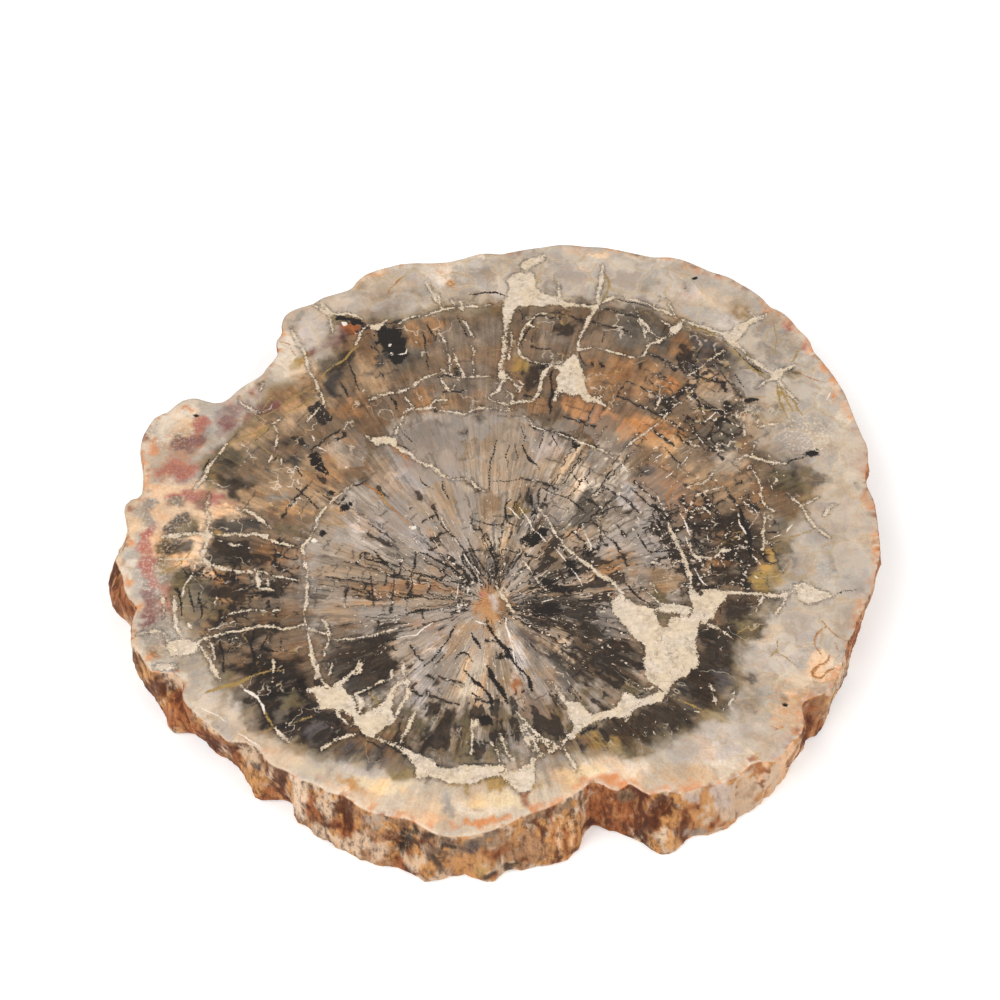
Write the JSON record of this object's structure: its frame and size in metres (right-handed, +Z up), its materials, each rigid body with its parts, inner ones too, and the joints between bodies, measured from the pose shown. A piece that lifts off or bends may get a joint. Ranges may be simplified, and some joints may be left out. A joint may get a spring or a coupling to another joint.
{
  "type": "petrified wood slice",
  "caption": "Flat slab of petrified wood cut across the trunk, polished on its upper face, with an irregular round outline and a rough bark rim.",
  "frame": {"origin": "centre of the slab's box, on the plane of its underside", "axes": "+Z up through the thickness to the polished face, +X along the slab's widest direction, to the right as pictured, +Y away from the viewer"},
  "size_m": [0.2687, 0.2532, 0.03],
  "materials": {
    "stone": "polished upper face, sawn underside, rough bark rim"
  },
  "bodies": {
    "root": {"petrified_wood_slice": "stone"}
  },
  "joints": []
}
